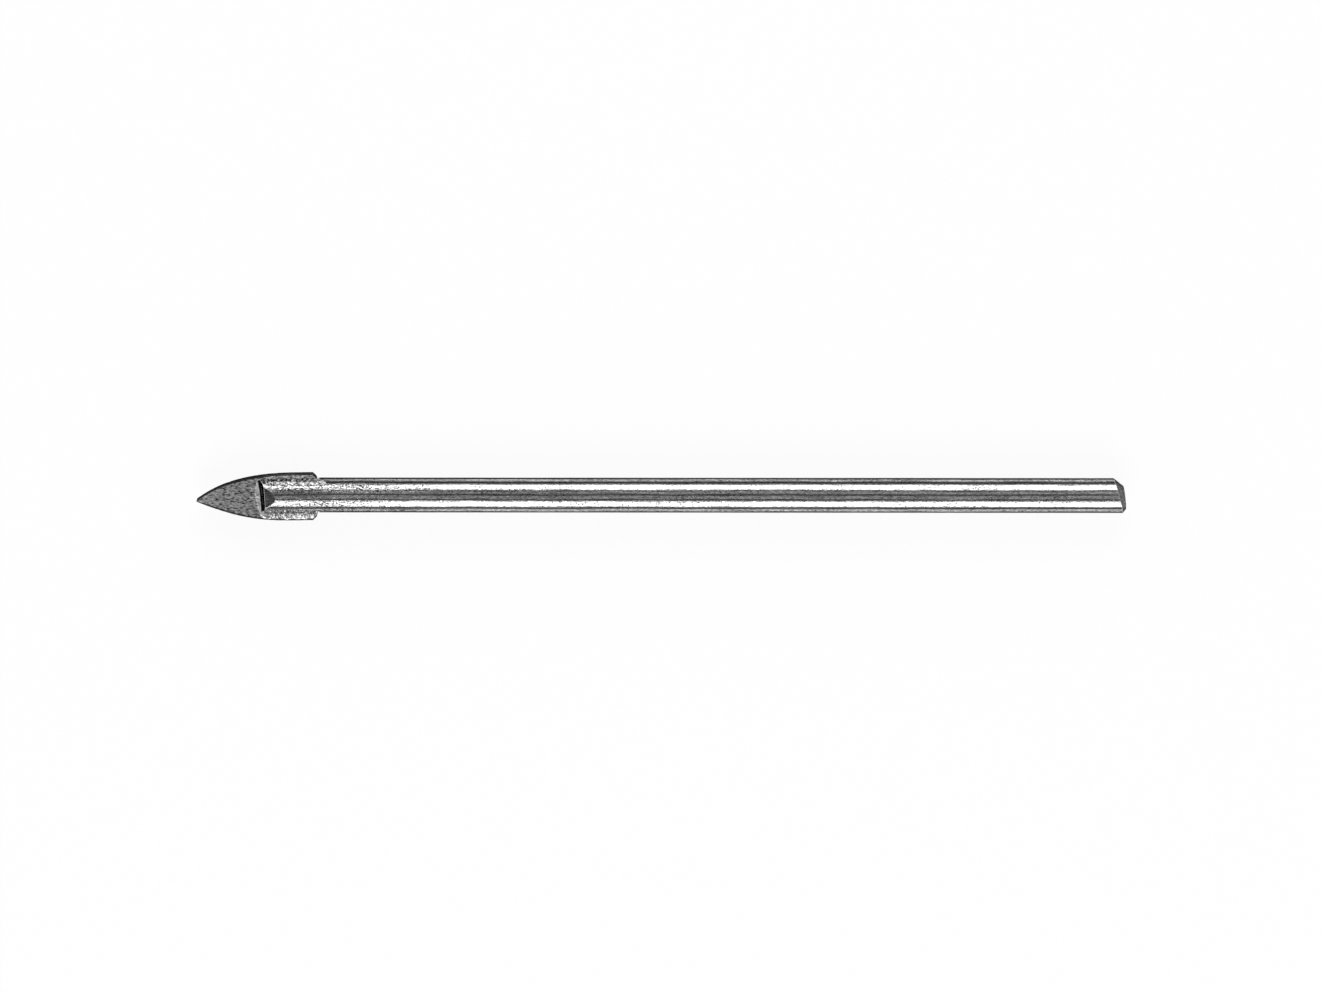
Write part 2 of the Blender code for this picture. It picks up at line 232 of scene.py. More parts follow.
def drawn_steel():
    """Cold drawn steel wire. The die leaves long lines and a fine rough grain along it, and brazing heat
    speckles the front with scale. Bands round the wire are painted reflections: dark ones are painted shade,
    one is a painted highlight. The sheared and ground rear end is rougher and painted darker as painted
    shade, the ears' fronts are rougher and painted near black as painted shade, and the ears' ground bevels
    are painted darker as painted shade. The rear end's edges are painted darker as painted shade; the other
    edges are brightened, partly as handling wear and partly as a painted highlight."""
    material, tree, shader, place = new_material("drawn_steel_wire")
    place_parts = add_node(tree, "ShaderNodeSeparateXYZ", {"Vector": place}).outputs
    heated = add_node(tree, "ShaderNodeMapRange",
                      {"Value": place_parts["X"], "From Min": SCALE_FULL_X, "From Max": SCALE_END_X,
                                                   "To Min": 1.0, "To Max": 0.0},
                      interpolation_type="SMOOTHSTEP").outputs["Result"]
    facing = add_node(tree, "ShaderNodeTexCoord").outputs["Normal"]
    facing = add_node(tree, "ShaderNodeSeparateXYZ", {"Vector": facing}).outputs["X"]
    lines = grain(tree, place, 3.0 * MM, 0.10 * MM, detail=3.0, roughness=0.6)
    speckle = grain(tree, place, 0.22 * MM, 0.10 * MM, detail=3.0, roughness=0.65)
    flecks = grain(tree, place, 0.12 * MM, 0.07 * MM, detail=2.0, roughness=0.6)
    patches = grain(tree, place, 5.0 * MM, 0.8 * MM, detail=2.0)

    turn = add_node(tree, "ShaderNodeMath", {0: place_parts["Y"], 1: place_parts["Z"]},
                    operation="ARCTAN2").outputs["Value"]
    wander = grain(tree, place, 4.0 * MM, 4.0 * MM)
    turn = add_node(tree, "ShaderNodeMath", {0: wander, 1: math.radians(6), 2: turn},
                    operation="MULTIPLY_ADD").outputs["Value"]
    turn = add_node(tree, "ShaderNodeMapRange", {"Value": turn, "From Min": math.radians(-87),
                                                 "From Max": math.radians(273)},
                    clamp=False).outputs["Result"]
    turn = add_node(tree, "ShaderNodeMath", {0: turn, 1: 1.0}, operation="FLOORED_MODULO").outputs["Value"]
    # Painted reflections: dark bands and one bright band by the turn round the wire
    painted_reflections = painted_reflection_ramp(tree, turn)
    rear = add_node(tree, "ShaderNodeMapRange",
                    {"Value": facing, "From Min": 0.3, "From Max": 0.5}).outputs["Result"]
    bevel = add_node(tree, "ShaderNodeMapRange",
                     {"Value": facing, "From Min": -0.2, "From Max": -0.3}).outputs["Result"]
    front = add_node(tree, "ShaderNodeMapRange",
                     {"Value": facing, "From Min": -0.6, "From Max": -0.8}).outputs["Result"]
    ground = add_node(tree, "ShaderNodeMath", {0: rear, 1: bevel}, operation="ADD").outputs["Value"]
    painted_reflections = add_node(tree, "ShaderNodeMix", {0: ground, 6: painted_reflections, 7: (0.8, 0.8, 0.8, 1)},
                         data_type="RGBA").outputs[2]
    line_share = add_node(tree, "ShaderNodeMapRange",
                          {"Value": lines, "From Min": 0.3, "From Max": 0.7}).outputs["Result"]
    skin = add_node(tree, "ShaderNodeMix", {0: line_share, 6: hex_colour("909090"), 7: hex_colour("DCDCDC")},
                    data_type="RGBA").outputs[2]
    skin = add_node(tree, "ShaderNodeVectorMath", {0: skin, 1: painted_reflections},
                    operation="MULTIPLY").outputs["Vector"]
    speck_share = add_node(tree, "ShaderNodeMapRange", {"Value": speckle, "From Min": 0.3, "From Max": 0.7,
                                                        "To Min": 0.4, "To Max": 1.5}).outputs["Result"]
    skin = add_node(tree, "ShaderNodeVectorMath", {0: skin, 1: speck_share},
                    operation="MULTIPLY").outputs["Vector"]

    pit_level = add_node(tree, "ShaderNodeMapRange", {"Value": patches, "From Min": 0.4, "From Max": 0.62,
                                                      "To Min": 0.6, "To Max": 0.5}).outputs["Result"]
    pit_level = add_node(tree, "ShaderNodeMath", {0: heated, 1: -0.08, 2: pit_level},
                         operation="MULTIPLY_ADD").outputs["Value"]
    pits = add_node(tree, "ShaderNodeMath", {0: flecks, 1: pit_level}, operation="SUBTRACT").outputs["Value"]
    pits = add_node(tree, "ShaderNodeMapRange",
                    {"Value": pits, "From Min": 0.0, "From Max": 0.16}).outputs["Result"]
    skin = add_node(tree, "ShaderNodeMix", {0: pits, 6: skin, 7: hex_colour("161616")},
                    data_type="RGBA").outputs[2]
    # Painted shade: the rear end and the ears' bevels darker, the ears' fronts near black
    for share, kept in ((rear, 0.42), (bevel, 0.38), (front, 0.03)):
        share = add_node(tree, "ShaderNodeMapRange",
                         {"Value": share, "To Min": 1.0, "To Max": kept}).outputs["Result"]
        skin = add_node(tree, "ShaderNodeVectorMath", {0: skin, 1: share},
                        operation="MULTIPLY").outputs["Vector"]
    # Edge mask: it brightens edges, partly as wear and partly as a painted highlight, and darkens the rear
    # end's edges as painted shade
    rounded = add_node(tree, "ShaderNodeBevel", {"Radius": 0.09 * MM}, samples=6).outputs["Normal"]
    true_normal = add_node(tree, "ShaderNodeNewGeometry").outputs["Normal"]
    worn = add_node(tree, "ShaderNodeVectorMath", {0: rounded, 1: true_normal},
                    operation="DOT_PRODUCT").outputs["Value"]
    worn = add_node(tree, "ShaderNodeMapRange",
                    {"Value": worn, "From Min": 0.99, "From Max": 0.96}).outputs["Result"]
    # Painted shade along the rear end's edges
    painted_rear_edge_shade = add_node(tree, "ShaderNodeMath", {0: worn, 1: rear}, operation="MULTIPLY").outputs["Value"]
    ends = add_node(tree, "ShaderNodeMath", {0: rear, 1: front}, operation="ADD").outputs["Value"]
    # Edges brightened, partly as handling wear and partly as a painted highlight
    bright = add_node(tree, "ShaderNodeMath", {0: worn, 1: ends}, operation="SUBTRACT",
                      use_clamp=True).outputs["Value"]
    skin = add_node(tree, "ShaderNodeMix", {0: bright, 6: skin, 7: hex_colour("E4E4E4")},
                    data_type="RGBA").outputs[2]
    skin = add_node(tree, "ShaderNodeMix", {0: painted_rear_edge_shade, 6: skin, 7: hex_colour("282828")},
                    data_type="RGBA").outputs[2]

    rough = add_node(tree, "ShaderNodeMapRange",
                     {"Value": pits, "To Min": 0.14, "To Max": 0.35}).outputs["Result"]
    rough = add_node(tree, "ShaderNodeMath", {0: ends, 1: 0.25, 2: rough},
                     operation="MULTIPLY_ADD").outputs["Value"]

    pitting = add_node(tree, "ShaderNodeMath", {0: heated, 1: 0.65, 2: 0.35},
                       operation="MULTIPLY_ADD").outputs["Value"]
    bump = add_node(tree, "ShaderNodeBump", {"Height": lines, "Distance": 0.0015 * MM, "Normal": rounded})
    bump = add_node(tree, "ShaderNodeBump", {"Height": speckle, "Distance": 0.02 * MM, "Strength": pitting,
                                             "Normal": bump.outputs["Normal"]})
    shader.inputs["Metallic"].default_value = 1.0
    shader.inputs["Specular Tint"].default_value = hex_colour("8C8C8C")
    tree.links.new(skin, shader.inputs["Base Color"])
    tree.links.new(rough, shader.inputs["Roughness"])
    tree.links.new(bump.outputs["Normal"], shader.inputs["Normal"])
    return material


def ground_carbide():
    """Sintered tungsten carbide, ground on a wheel: dull dark grey, with short grinding marks and pores.
    It is paler beside the ears, where it was heated, and at the worn point. The relief flanks, ground along
    their length, are painted darker than the flat faces as painted shade, and a narrow band along each
    cutting edge is darker too."""
    material, tree, shader, place = new_material("ground_tungsten_carbide")
    marks = grain(tree, place, 0.25 * MM, 0.085 * MM, detail=3.0, roughness=0.65)
    patches = grain(tree, place, 0.9 * MM, 0.4 * MM, detail=2.0)
    share = add_node(tree, "ShaderNodeMapRange",
                     {"Value": marks, "From Min": 0.37, "From Max": 0.65}).outputs["Result"]
    colour = add_node(tree, "ShaderNodeMix", {0: share, 6: hex_colour("222222"), 7: hex_colour("C6C6C6")},
                      data_type="RGBA").outputs[2]
    along = add_node(tree, "ShaderNodeSeparateXYZ", {"Vector": place}).outputs["X"]
    heated = add_node(tree, "ShaderNodeMapRange", {"Value": along, "From Min": EAR_FRONT_X - 0.2 * MM,
                                                   "From Max": EAR_FRONT_X + 0.4 * MM, "To Min": 1.0,
                                                   "To Max": 1.97}).outputs["Result"]
    worn = add_node(tree, "ShaderNodeMapRange",
                    {"Value": along, "From Min": POINT_WORN_X, "From Max": POINT_KEPT_X,
                                                 "To Min": 1.43, "To Max": 1.0}).outputs["Result"]
    for share in (heated, worn):
        colour = add_node(tree, "ShaderNodeVectorMath", {0: colour, 1: share},
                          operation="MULTIPLY").outputs["Vector"]
    facing = add_node(tree, "ShaderNodeTexCoord").outputs["Normal"]
    facing = add_node(tree, "ShaderNodeSeparateXYZ", {"Vector": facing}).outputs["Z"]
    facing = add_node(tree, "ShaderNodeMath", {0: facing}, operation="ABSOLUTE").outputs["Value"]
    # Painted shade: the relief flanks darker by the way they face
    painted_flank_shade = add_node(tree, "ShaderNodeMapRange", {"Value": facing, "From Min": 0.8, "From Max": 0.5,
                                                  "To Max": 0.75}).outputs["Result"]
    colour = add_node(tree, "ShaderNodeMix", {0: painted_flank_shade, 6: colour, 7: hex_colour("2E2E2E")},
                      data_type="RGBA").outputs[2]
    # A darker band along each cutting edge
    edge = add_node(tree, "ShaderNodeAttribute", attribute_name="cutting_edge").outputs["Fac"]
    colour = add_node(tree, "ShaderNodeMix", {0: edge, 6: colour, 7: hex_colour("242424")},
                      data_type="RGBA").outputs[2]
    rough = add_node(tree, "ShaderNodeMapRange", {"Value": patches, "From Min": 0.3, "From Max": 0.7,
                                                  "To Min": 0.40, "To Max": 0.52}).outputs["Result"]
    bump = add_node(tree, "ShaderNodeBump", {"Height": marks, "Distance": 0.014 * MM})
    shader.inputs["Metallic"].default_value = 1.0
    shader.inputs["Specular Tint"].default_value = hex_colour("404040")
    tree.links.new(colour, shader.inputs["Base Color"])
    tree.links.new(rough, shader.inputs["Roughness"])
    tree.links.new(bump.outputs["Normal"], shader.inputs["Normal"])
    return material


def silver_braze():
    """Silver brazing alloy, frozen as it ran: bright crests, duller grey skin between them, patches of dark
    burnt flux, and painted shade in the creases against the steel and ahead of the ears' fronts."""
    material, tree, shader, place = new_material("silver_brazing_alloy")
    lumpy = grain(tree, place, 0.20 * MM, 0.12 * MM, detail=3.0, roughness=0.6)
    # Dark colour: painted shade in the creases and ahead of the ears, and patches of burnt flux
    flux_and_painted_shade = add_node(tree, "ShaderNodeAttribute", attribute_name="flux_and_painted_shade").outputs["Fac"]
    bright = add_node(tree, "ShaderNodeMapRange", {"Value": lumpy, "From Min": 0.32, "From Max": 0.56},
                      interpolation_type="SMOOTHSTEP").outputs["Result"]
    colour = add_node(tree, "ShaderNodeMix", {0: bright, 6: hex_colour("707070"), 7: hex_colour("F2F2F2")},
                      data_type="RGBA").outputs[2]
    colour = add_node(tree, "ShaderNodeMix", {0: flux_and_painted_shade, 6: colour, 7: hex_colour("121212")},
                      data_type="RGBA").outputs[2]
    rough = add_node(tree, "ShaderNodeMapRange",
                     {"Value": bright, "To Min": 0.45, "To Max": 0.22}).outputs["Result"]
    rough = add_node(tree, "ShaderNodeMath", {0: flux_and_painted_shade, 1: 0.3, 2: rough},
                     operation="MULTIPLY_ADD").outputs["Value"]
    bump = add_node(tree, "ShaderNodeBump", {"Height": lumpy, "Distance": 0.03 * MM})
    shader.inputs["Metallic"].default_value = 1.0
    tree.links.new(colour, shader.inputs["Base Color"])
    tree.links.new(rough, shader.inputs["Roughness"])
    tree.links.new(bump.outputs["Normal"], shader.inputs["Normal"])
    return material


def add_object(name, shape, material=None):
    """Links a bmesh as an object. Without a material it is only a cutter, and goes again after its cut."""
    bmesh.ops.recalc_face_normals(shape, faces=shape.faces)
    mesh = bpy.data.meshes.new(name)
    shape.to_mesh(mesh)
    shape.free()
    made = bpy.data.objects.new(name, mesh)
    bpy.context.scene.collection.objects.link(made)
    if material is not None:
        mesh.materials.append(material)
    return made


def cut_away(target, cutters):
    """Cuts each cutter out of the target for good, and removes the cutters."""
    for cutter in cutters:
        modifier = target.modifiers.new(cutter.name, "BOOLEAN")
        modifier.operation = "DIFFERENCE"
        modifier.solver = "EXACT"
        modifier.object = cutter
    cut = bpy.data.meshes.new_from_object(target.evaluated_get(bpy.context.evaluated_depsgraph_get()))
    target.modifiers.clear()
    target.data = cut
    for cutter in cutters:
        bpy.data.objects.remove(cutter)


def box_shape(low, high):
    shape = bmesh.new()
    size = [b - a for a, b in zip(low, high)]
    middle = [(a + b) / 2 for a, b in zip(low, high)]
    bmesh.ops.create_cube(shape, size=1.0, matrix=Matrix.Translation(middle) @ Matrix.Diagonal((*size, 1.0)))
    return shape


def tube_shape(rings):
    """A closed skin over rings of points, with a fan at each end."""
    shape = bmesh.new()
    rows = [[shape.verts.new(point) for point in ring] for ring in rings]
    for first, second in zip(rows, rows[1:]):
        for i in range(len(first)):
            shape.faces.new((first[i - 1], first[i], second[i], second[i - 1]))
    for row in (rows[0], rows[-1]):
        middle = shape.verts.new(sum((v.co for v in row), Vector()) / len(row))
        for i in range(len(row)):
            shape.faces.new((middle, row[i - 1], row[i]))
    return shape


def smooth_step(value):
    value = min(max(value, 0.0), 1.0)
    return value * value * (3 - 2 * value)


def between(first, second, share):
    return tuple(a + share * (b - a) for a, b in zip(first, second))


# Shank


def surface_depth(x, angle):
    """How far the wire's real surface lies under its nominal round: slow waves from drawing, and dents."""
    place = Vector((x / (2.2 * MM), 2.2 * math.cos(angle), 2.2 * math.sin(angle)))
    depth = 0.0025 * MM * (1 + noise.noise(place))
    place = Vector((x / (0.45 * MM), 5.5 * math.cos(angle), 5.5 * math.sin(angle)))
    depth += 0.010 * MM * max(0.0, noise.noise(place) - 0.15)
    for dent_x, degrees, along, round_it, deep in DENTS:
        if abs(x / MM - dent_x) < along:
            turned = math.degrees(angle) - degrees
            turned -= 360 * round(turned / 360)
            far = math.hypot((x / MM - dent_x) / along, turned / round_it)
            depth += deep * MM * smooth_step(1 - far)
    return depth


def shank_stations():
    x = EAR_FRONT_X - SHANK_RADIUS
    stations = [x]
    while x < 0.2 * MM:
        x += SHANK_STEP_FRONT if x < PLATE_BACK_X + 4 * MM else SHANK_STEP
        stations.append(x)
    return stations


def shank_ring(x):
    ring = []
    for i in range(SHANK_SIDES):
        angle = 2 * math.pi * i / SHANK_SIDES
        radius = 0.9985 * SHANK_RADIUS - surface_depth(x, angle)
        ring.append((x, radius * math.sin(angle), radius * math.cos(angle)))
    return ring


def rear_end_cutter():
    """A cup whose floor leaves the sheared end face and whose cone leaves the ground chamfer."""
    inner = SHANK_RADIUS - REAR_CHAMFER
    reach = REAR_CHAMFER + CHAMFER_OFFSET + 2 * CUT_MARGIN
    sides = 96
    rings = []
    for x, radius in ((reach, inner * 0.01), (reach, inner + reach + CUT_MARGIN),
                      (-reach, inner + reach + CUT_MARGIN), (-reach, inner + reach),
                      (0, inner), (0, inner * 0.01)):
        rings.append([(x, radius * math.sin(2 * math.pi * i / sides),
                       radius * math.cos(2 * math.pi * i / sides))
                      for i in range(sides)])
    cutter = add_object("rear_end_cutter", tube_shape(rings))
    cutter.matrix_world = Matrix.Rotation(SHEAR_SLANT, 4, "Z") @ Matrix.Translation((0, -CHAMFER_OFFSET, 0))
    return cutter


def front_cutter(face, grow):
    """A block whose rear side is the leaning front of one ear."""
    side = 2 * SHANK_DIAMETER
    cutter = add_object("front_cutter", box_shape((-side, -side, -side), (-grow, side, side)))
    foot = Matrix.Translation((EAR_FRONT_X, 0, face * HALF_SLOT))
    lean = Matrix.Rotation(face * EAR_LEAN, 4, "Y")
    cutter.matrix_world = foot @ Matrix.Rotation(SHEAR_SLANT, 4, "Z") @ lean
    return cutter


def facet_cutter(face, grow):
    """A block whose underside is the bevel on one ear's crown."""
    slope = Matrix.Rotation(-math.atan2(FACET_DEPTH, FACET_LENGTH), 4, "Y")
    shape = box_shape((-FACET_LENGTH - CUT_MARGIN, -SHANK_DIAMETER, grow),
                      (2 * FACET_LENGTH + CUT_MARGIN, SHANK_DIAMETER, SHANK_DIAMETER))
    cutter = add_object("facet_cutter", shape)
    crown = Matrix.Translation((EAR_FRONT_X, 0, SHANK_RADIUS - FACET_DEPTH))
    half_turn = 0 if face == 1 else math.pi
    cutter.matrix_world = Matrix.Rotation(FACET_ROLL + half_turn, 4, "X") @ crown @ slope
    return cutter


def shank_cutters(grow=0.0):
    """What is cut from the blank. With grow, the walls that they leave lie that far outside the real ones."""
    slot = box_shape((EAR_FRONT_X - SHANK_DIAMETER, -SHANK_DIAMETER, grow - HALF_SLOT),
                     (SLOT_FLOOR_X - grow, SHANK_DIAMETER, HALF_SLOT - grow))
    cutters = [add_object("slot_cutter", slot), rear_end_cutter()]
    for face in (1, -1):
        cutters += [front_cutter(face, grow), facet_cutter(face, grow)]
    return cutters


def make_shank(material):
    shank = add_object("drawn_shank", tube_shape([shank_ring(x) for x in shank_stations()]), material)
    cut_away(shank, shank_cutters())
    shank.data.shade_smooth()
    shank.data.set_sharp_from_angle(angle=math.radians(14.0))
    return shank


def shank_clearance():
    """A plain shank a hair thinner than the real one, for cutting the braze, so that it wets the steel."""
    radius = SHANK_RADIUS - WETTED
    rings = []
    for x in (EAR_FRONT_X - SHANK_RADIUS, CUT_MARGIN):
        turns = [2 * math.pi * (i + 0.5) / 96 for i in range(96)]
        rings.append([(x, radius * math.sin(turn), radius * math.cos(turn)) for turn in turns])
    plain = add_object("shank_clearance", tube_shape(rings))
    cut_away(plain, shank_cutters(-WETTED))
    return plain


# Carbide plate


def edge_half_width(from_point):
    rise = HALF_WIDTH - RELIEF_STEP / 2
    return HALF_WIDTH - rise * max(1 - from_point / OGIVE_LENGTH, 0) ** OGIVE_FULLNESS


def point_bias(from_point):
    return -POINT_BIAS * max(1 - from_point / BIAS_LENGTH, 0) ** 2


def chipping(from_point, which):
    """Small nicks along a cutting edge."""
    nick = noise.noise(Vector((from_point / CHIP_SPACING, 7.3 * which, 0.5)))
    return CHIP_DEPTH * max(0.0, nick - 0.1) / 0.9


def plate_ring(from_point, inset):
    """Points round the plate at one distance behind the point, starting at the near face's cutting edge."""
    half = max(edge_half_width(from_point) - inset, RELIEF_STEP / 2)
    middle = point_bias(from_point)
    x = from_point - PLATE_LENGTH
    soft = min(HONED_CORNER, (half - RELIEF_STEP / 2) / 3 + 0.0005 * MM)
    width = max(2 * half - RELIEF_STEP - 2 * soft, 0.001 * MM)
    shares = [0, min(EDGE_BAND / width, 0.15), min(1.6 * EDGE_BAND / width, 0.25)]
    shares += [shares[2] + (1 - shares[2]) * (i + 1) / PLATE_COLUMNS for i in range(PLATE_COLUMNS)]
    ring = []
    for face in (1, -1):
        lead = -face * (half - chipping(from_point, face))
        trail = face * (half - RELIEF_STEP)
        z = face * HALF_PLATE
        ring.append((x, middle + lead, z - face * soft))
        for share in shares:
            y = lead + face * soft + share * (trail - lead - 1.25 * face * soft)
            ring.append((x, middle + y, z))
        ring.append((x, middle + trail + face * soft / 4 * math.tan(RELIEF_ANGLE), z - face * soft / 4))
    return ring


def plate_clearance():
    """A plain plate a hair smaller than the real one, for cutting the braze, so that it wets the carbide."""
    sides = []
    stations = [OGIVE_LENGTH * (i / 30) ** 1.2 for i in range(31)]
    stations += [PLATE_LENGTH - BACK_CORNER, PLATE_LENGTH]
    for face in (1, -1):
        for side in (-face, face):
            row = []
            for d in stations:
                half = edge_half_width(d) - WETTED / 2 - (RELIEF_STEP if side == face else 0)
                half -= BACK_CORNER if d == PLATE_LENGTH else 0
                row.append((d - PLATE_LENGTH, point_bias(d) + side * half, face * (HALF_PLATE - WETTED / 4)))
            sides.append(row)
    rings = [list(points) for points in zip(*sides)]
    shape = tube_shape(rings[6:])
    shape.transform(plate_seat())
    return add_object("plate_clearance", shape)


def plate_seat():
    """The plate's place in the slot, where it was brazed in a little askew and to one side."""
    return Matrix.Translation((PLATE_BACK_X, -PLATE_SHIFT, 0)) @ Matrix.Rotation(PLATE_SKEW, 4, "Z")


def make_plate(material):
    stations = [OGIVE_LENGTH * (i / PLATE_STEPS) ** 1.15 for i in range(PLATE_STEPS + 1)]
    stations += [OGIVE_LENGTH + i * 0.1 * MM for i in range(1, 11)]
    rings = [plate_ring(d, 0) for d in stations]
    for set_in, from_back in ((0, BACK_CORNER), (0.06 * MM, 0.2 * MM), (0.14 * MM, 0.11 * MM),
                              (BACK_CORNER, 0)):
        rings.append(plate_ring(PLATE_LENGTH - from_back, set_in))
    shape = tube_shape(rings)
    cutting_edge = shape.verts.layers.float.new("cutting_edge")
    for i, vert in enumerate(shape.verts):
        vert[cutting_edge] = 0.9 if i % (len(rings[0]) // 2) < 3 else 0.0
    bmesh.ops.remove_doubles(shape, verts=shape.verts, dist=0.0004 * MM)
    shape.transform(plate_seat())
    plate = add_object("carbide_spear_plate", shape, material)
    plate.data.shade_smooth()
    plate.data.set_sharp_from_angle(angle=math.radians(40.0))
    return plate


# Braze


def lumps(along, phase):
    turns = 2 * math.pi * along / LUMP_SPACING
    return 1 + 0.3 * (0.6 * math.sin(turns + phase) + 0.4 * math.sin(1.7 * turns + 2 * phase))


def on_shank(angle, height):
    radius = SHANK_RADIUS + height
    return radius * math.cos(angle), radius * math.sin(angle)


def foot_reach(x, side, wide):
    from_back = min(x - PLATE_BACK_X, 0)
    from_point = PLATE_LENGTH + from_back
    half_width = edge_half_width(from_point) - max(BACK_CORNER + from_back, 0)
    half_width -= 0 if wide else RELIEF_STEP
    middle = from_back * math.tan(PLATE_SKEW) - PLATE_SHIFT
    bare_from = half_width + side * middle - EDGE_BARE * lumps(x, 4 * side)
    reach = bare_from if wide else min(EAR_CORNER_Y + FOOT * lumps(x, side), bare_from)
    return max(reach, (EAR_CORNER_Y + FILM) * smooth_step((x - FILLED_FROM) / (EAR_FRONT_X - FILLED_FROM)))


def apron_points(x, side, reach, count):
    points = [(reach + DIVE, HALF_PLATE - DIVE)]
    for i in range(count - 1):
        y = reach * (1 - i / (count - 1.5))
        front = EAR_FRONT_X - side * y * math.tan(SHEAR_SLANT) - APRON * (1 - 0.5 * (y / reach) ** 2)
        risen = smooth_step((x - front) / (APRON / 3))
        height = 0.6 * APRON_HEIGHT * lumps(x, side + 2 * y / LUMP_SPACING)
        points.append((y, HALF_PLATE - DIVE + risen * (DIVE + height)))
    return points


def fillet_points(x, side, reach, wide):
    behind = x - PLATE_BACK_X
    tail = SHORT_TAIL if wide else TAIL
    thinned = 1 - smooth_step(2 * behind / tail - 1)
    drawn_in = smooth_step(behind / SHORT_TAIL + 0.5)
    climb = (SHORT_CLIMB * lumps(x, 7 * side) if wide else STEEP_CLIMB * math.sqrt(lumps(x, 7 * side)))
    climb *= 0.6 + 0.4 * thinned
    height = -DIVE + thinned * (DIVE + SKIN * lumps(x, 3 * side))
    root = on_shank(EAR_CORNER_ANGLE - ROOT, -DIVE)
    foot = (reach, HALF_PLATE + SKIN / 2)
    upper = on_shank(EAR_CORNER_ANGLE + 0.35 * climb, 1.3 * height)
    middle = between(foot, upper, 0.5)
    middle = (middle[0], HALF_PLATE + HEAP * lumps(x, 5 * side)) if wide else middle
    return [between((reach + DIVE, HALF_PLATE - DIVE), root, drawn_in),
            between(foot, on_shank(EAR_CORNER_ANGLE, height), drawn_in),
            between(middle, on_shank(EAR_CORNER_ANGLE + 0.15 * climb, height), drawn_in),
            upper,
            on_shank(EAR_CORNER_ANGLE + 0.8 * climb, height),
            on_shank(EAR_CORNER_ANGLE + climb, -DIVE)]


def braze_ring(x):
    ring = []
    for side, face in ((1, 1), (-1, 1), (-1, -1), (1, -1)):
        ear_foot = EAR_FRONT_X - side * EAR_CORNER_Y * math.tan(SHEAR_SLANT)
        seated = smooth_step((x - ear_foot - SKIN) / RUN_IN)
        wide = side != face
        reach = foot_reach(x, side, wide)
        fillet = fillet_points(x, side, reach, wide)
        apron = apron_points(x, side, reach, len(fillet))
        points = [(x, side * y, face * z) for y, z in (between(a, b, seated) for a, b in zip(apron, fillet))]
        ring += points if side == face else points[::-1]
    return ring


def beaded(shape):
    """Pushes the skin of the braze out and in, as the beads and hollows that it froze with."""
    shape.normal_update()
    for vert in shape.verts:
        place = vert.co / BEAD_SPACING
        swell = noise.noise(place) + 0.5 * noise.noise(place * 2.1)
        vert.co += vert.normal * BEAD_HEIGHT * MM * swell


def flux_and_shade_share(point):
    """How much dark colour covers a point of the braze: painted shade in the crevice ahead of the ears'
    fronts and in the creases along their corners, and patchy burnt flux on the sides and on the lump behind
    the plate."""
    y = abs(point.y)
    ahead = EAR_FRONT_X - point.y * math.tan(SHEAR_SLANT) - point.x
    broken = 0.85 + 0.8 * noise.noise(point / CREASE_SHADE_FLAKE)
    # Painted shade in the crevice ahead of an ear's front
    if ahead > 0:
        reach = PAINTED_SHADE_AHEAD + 0.04 * MM * (y / MM) ** 2
        across = smooth_step((PAINTED_SHADE_HALF_WIDTH - y) / (0.06 * MM) + 0.5)
        return smooth_step((reach - ahead) / (0.03 * MM) + 0.5) * across
    if y < FLUX_AND_SHADE_FREE:
        return 0.0
    patchy = 0.7 + 0.9 * noise.noise(point / FLUX_SPECK)
    if point.x > PLATE_BACK_X - 0.15 * MM:
        return max(0.0, 0.85 * patchy)
    # Narrow side: painted shade in the crease along the ear's corner, and patchy burnt flux
    if (point.y > 0) == (point.z > 0):
        dark = broken * smooth_step((y - NARROW_BAND_INNER) / (0.05 * MM))
        dark *= smooth_step((NARROW_BAND_OUTER - y) / (0.04 * MM))
        dull = 0.75 + 0.3 * smooth_step((EAR_FRONT_X + 1.0 * MM - point.x) / (0.3 * MM))
        return min(1.0, max(0.0, dark, dull * patchy * smooth_step((y - 0.55 * MM) / (0.1 * MM))))
    # Wide side: patchy burnt flux, and painted shade along the crease at WIDE_LINE
    dull = 0.70 + 0.05 * smooth_step((PLATE_BACK_X - 0.9 * MM - point.x) / (0.2 * MM))
    return max(0.0, dull * patchy, 0.9 * smooth_step(1.3 - abs(y - WIDE_LINE) / (0.055 * MM)))


def make_braze(material):
    steps = round((FILLED_TO - FILLED_FROM) / BRAZE_STEP)
    rings = [braze_ring(FILLED_FROM + (FILLED_TO - FILLED_FROM) * i / steps) for i in range(steps + 1)]
    braze = add_object("silver_braze_fillets", tube_shape(rings), material)
    smoothing = braze.modifiers.new("smoothing", "SUBSURF")
    smoothing.levels = 2
    bpy.context.view_layer.update()
    smooth = bmesh.new()
    smooth.from_object(braze, bpy.context.evaluated_depsgraph_get())
    beaded(smooth)
    braze.modifiers.clear()
    smooth.to_mesh(braze.data)
    smooth.free()
    cut_away(braze, [shank_clearance(), plate_clearance()])
    # Per point: painted shade and burnt flux, for the material
    flux_and_painted_shade = braze.data.attributes.new("flux_and_painted_shade", "FLOAT", "POINT")
    for vert, value in zip(braze.data.vertices, flux_and_painted_shade.data):
        value.value = flux_and_shade_share(vert.co)
    braze.data.shade_smooth()
    braze.data.set_sharp_from_angle(angle=math.radians(60.0))
    return braze


# Floor, light and camera


